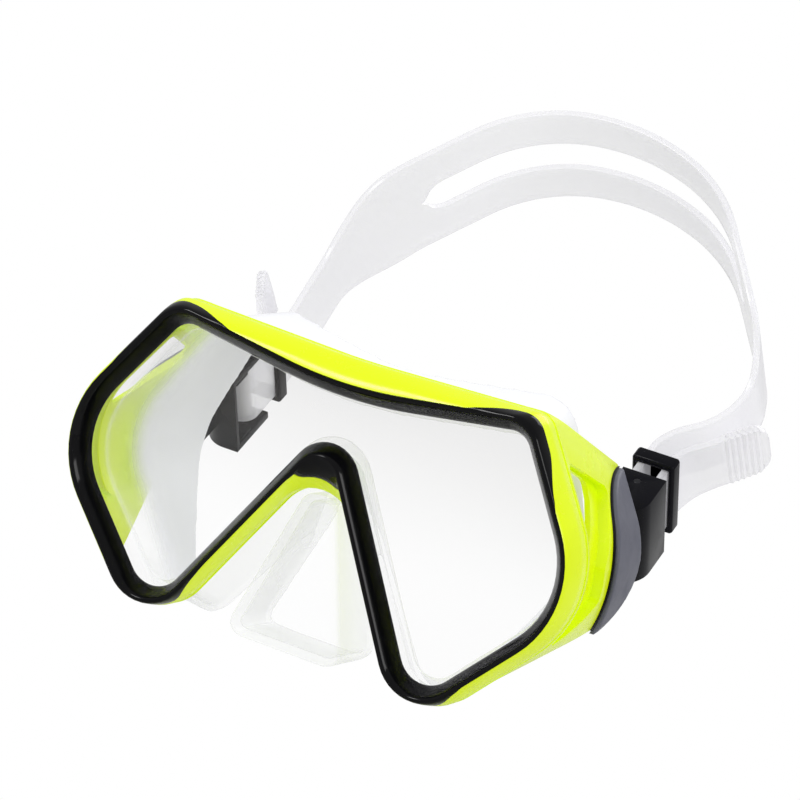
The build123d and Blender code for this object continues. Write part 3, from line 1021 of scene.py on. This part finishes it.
    def build(self) -> bpy.types.Object:
        """The strap as one moulded band."""
        route = self.route()
        upper: list[list[Vector]] = []
        lower: list[list[Vector]] = []
        runs = [0.0]
        for here, following in zip(route, route[1:]):
            runs.append(runs[-1] + (following - here).length)
        for point, run in zip(route, runs, strict=True):
            half, slot = self.half_widths(point.y)
            short = max(0.0, self.tip_radius - min(run, runs[-1] - run))
            half -= self.tip_radius - math.sqrt(self.tip_radius**2 - short**2)
            marks = [slot + (half - slot) * j / self.columns for j in range(self.columns + 1)]
            upper.append([self.place(point.x, point.y, w) for w in marks])
            lower.append([self.place(point.x, point.y, -w) for w in marks])
        first = Bench.loft("strap_upper", upper, closed_rows=False)
        second = Bench.loft("strap_lower", lower, closed_rows=False)
        piece = Bench.join([first, second], "head_strap")
        Bench.alone(piece)
        bpy.ops.object.mode_set(mode="EDIT")
        bpy.ops.mesh.select_all(action="SELECT")
        bpy.ops.mesh.remove_doubles(threshold=0.00002)
        bpy.ops.mesh.normals_make_consistent(inside=False)
        bpy.ops.object.mode_set(mode="OBJECT")
        Bench.apply(piece, "SOLIDIFY", thickness=self.thickness * MM, offset=0.0, use_even_offset=True)
        Bench.apply(
            piece,
            "BEVEL",
            width=self.rounding * MM,
            segments=2,
            limit_method="ANGLE",
            angle_limit=math.radians(60.0),
        )
        Bench.smooth(piece, 50.0)
        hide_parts("strap")
        return piece

    def make(self) -> None:
        """Builds, dresses and places the strap."""
        piece = self.build()
        PAINT.cover(piece, Finish.STRAP)
        report(piece, "buckle_left")


# ---------------------------------------------------------------- sides
class Side(Enum):
    """The two sides of the mask, by the sign of X."""

    LEFT = 1
    RIGHT = -1

    @property
    def word(self) -> str:
        """The side's name in node and body names."""
        return self.name.lower()


@dataclass
class SideFittings:
    """One side's cover, swivel pin, buckle and keeper. Millimetres."""

    side: Side
    pegs: tuple[Point, ...] = ((-2.0, 21.5), (-3.5, 8.0), (-5.5, -2.0))
    peg_reach: float = 2.1
    peg_facing: float = 0.3
    cover_voxel: float = 0.4
    cover_passes: int = 10

    def blacken_pegs(self, cover: bpy.types.Object) -> None:
        """Gives the inner ends of the cover's pegs their black rubber.

        Args:
            cover: The side cover, with its own finish.
        """
        cover.data.materials.append(PAINT.get(Finish.SEAL))
        last = len(cover.data.materials) - 1
        for face in cover.data.polygons:
            spot = face.center / MM
            near = min(math.hypot(spot.y - y, spot.z - z) for y, z in self.pegs)
            if near < self.peg_reach and face.normal.x * self.side.value < self.peg_facing:
                face.material_index = last

    def dressed_copy(
        self, node: str, name: str, finish: Finish, body: str, width: float
    ) -> bpy.types.Object:
        """A rounded copy of a CAD node with its finish, on its body.

        Args:
            node: The node's name without its side.
            name: The new piece's name without its side.
            finish: Its finish.
            body: The body without its side, or the mask.
            width: Rounding of its edges.

        Returns:
            The finished piece.
        """
        word = self.side.word
        piece = Bench.copy_node(f"{node}_{word}", f"{name}_{word}")
        Bench.soften(piece, width * MM, 3)
        PAINT.cover(piece, finish)
        report(piece, body if body == MASK else body.format(side=word))
        return piece

    def make(self) -> None:
        """Builds, dresses and places every piece of the side."""
        cover = self.dressed_copy("side_cap", "arm_cover", Finish.SLATE, MASK, 0.6)
        Bench.recast(cover, self.cover_voxel * MM, self.cover_passes)
        self.blacken_pegs(cover)
        self.dressed_copy("cap_seal", "cover_seal", Finish.SEAL, MASK, 0.15)
        self.dressed_copy("swivel_pin", "pivot_pin", Finish.BUCKLE, MASK, 0.3)
        self.dressed_copy("buckle_housing", "buckle_body", Finish.BUCKLE, "buckle_{side}", 0.7)
        self.dressed_copy("roller_axle", "axle", Finish.STEEL, "buckle_{side}", 0.15)
        self.dressed_copy("strap_roller", "roller", Finish.ROLLER, "roller_{side}", 0.2)
        for end in ("upper", "lower"):
            body = "release_{side}_" + end
            self.dressed_copy(f"release_{end}", f"button_{end}", Finish.BUCKLE, body, 0.2)
        self.dressed_copy("locking_pawl", "pawl", Finish.BUCKLE, "pawl_{side}", 0.15)
        self.dressed_copy("strap_keeper", "keeper", Finish.BUCKLE, "keeper_{side}", 0.25)


# ---------------------------------------------------------------- studio
@dataclass
class Studio:
    """Camera, floor and soft lights. Metres and degrees."""

    eye: tuple[float, float, float] = (0.3581, -0.8760, 0.1622)
    azimuth: float = 22.4385
    elevation: float = 8.1092
    roll: float = 15.0110
    focal: float = 157.5
    sensor: float = 36.0
    ambient: float = 0.55

    def camera(self) -> None:
        """Places the camera."""
        a, e, r = (math.radians(v) for v in (self.azimuth, self.elevation, self.roll))
        forward = Vector((-math.sin(a) * math.cos(e), math.cos(a) * math.cos(e), -math.sin(e)))
        level = Vector((math.cos(a), math.sin(a), 0.0))
        upright = level.cross(forward)
        right = level * math.cos(r) + upright * math.sin(r)
        up = upright * math.cos(r) - level * math.sin(r)
        data = bpy.data.cameras.new("camera")
        data.lens = self.focal
        data.sensor_width = self.sensor
        data.clip_start, data.clip_end = 0.05, 50.0
        eye = bpy.data.objects.new("camera", data)
        bpy.context.scene.collection.objects.link(eye)
        turned = Matrix((right, up, -forward)).transposed().to_4x4()
        eye.matrix_world = Matrix.Translation(self.eye) @ turned
        bpy.context.scene.camera = eye

    def floor(self) -> None:
        """Lays a pale floor just under the mask, pure white to the camera."""
        graph = Graph("studio_floor")
        speckle = graph.noise(3.0, 2.0)
        tone = graph.mix(speckle.ramp(0.3, 0.7), (0.7, 0.7, 0.7, 1.0), (0.66, 0.66, 0.66, 1.0))
        matt = graph.principled(Base_Color=tone, Roughness=0.9)
        lit = graph.node("ShaderNodeEmission", {"Color": (1.0, 1.0, 1.0, 1.0), "Strength": 1.0})
        seen = graph.node("ShaderNodeLightPath", {}, "Is Camera Ray")
        shader = graph.node("ShaderNodeMixShader", {0: seen, 1: matt, 2: lit})
        Bench.clear()
        low = CAD_BOUNDS[0].z - 0.004
        bpy.ops.mesh.primitive_plane_add(size=30.0, location=(0.0, 0.0, 0.0))
        ground = bpy.context.object
        ground.name = "floor"
        for vertex in ground.data.vertices:
            vertex.co.z = low
        ground.data.materials.append(graph.finish(shader))

    def light(self, name: str, place: Sequence[float], size: float, power: float) -> None:
        """Adds a soft square light that faces the mask.

        Args:
            name: The light's name.
            place: Its position.
            size: Its width.
            power: Its power in watts.
        """
        data = bpy.data.lights.new(name, "AREA")
        data.shape = "SQUARE"
        data.size = size
        data.energy = power
        lamp = bpy.data.objects.new(name, data)
        bpy.context.scene.collection.objects.link(lamp)
        lamp.location = place
        lamp.rotation_mode = "QUATERNION"
        lamp.rotation_quaternion = (Vector((0.0, 0.0, 0.02)) - Vector(place)).to_track_quat("-Z", "Y")

    def make(self) -> None:
        """Sets up the whole studio."""
        self.camera()
        self.floor()
        self.light("key", (-0.7, -1.0, 1.3), 0.45, 11.0)
        self.light("fill", (1.3, -0.5, 0.8), 0.5, 5.0)
        self.light("back", (0.3, 1.2, 1.0), 0.8, 6.0)
        self.sky()
        bpy.context.scene.view_settings.view_transform = "Standard"

    def sky(self) -> None:
        """Surrounds the studio with white for the camera and softer light for the pieces."""
        world = bpy.data.worlds.new("studio")
        bpy.context.scene.world = world
        world.use_nodes = True
        tree = world.node_tree
        backdrop = tree.nodes["Background"]
        path = tree.nodes.new("ShaderNodeLightPath")
        level = tree.nodes.new("ShaderNodeMapRange")
        level.inputs[3].default_value = self.ambient
        tree.links.new(path.outputs["Is Camera Ray"], level.inputs[0])
        tree.links.new(level.outputs[0], backdrop.inputs[1])
        backdrop.inputs[0].default_value = (1.0, 1.0, 1.0, 1.0)


def main() -> None:
    """Builds the scene in order."""
    logging.basicConfig(level=logging.INFO)
    Studio().make()
    FrontFrame().make()
    Skirt().make()
    for side in Side:
        SideFittings(side).make()
    HeadStrap().make()


if __name__ == "__main__":
    main()
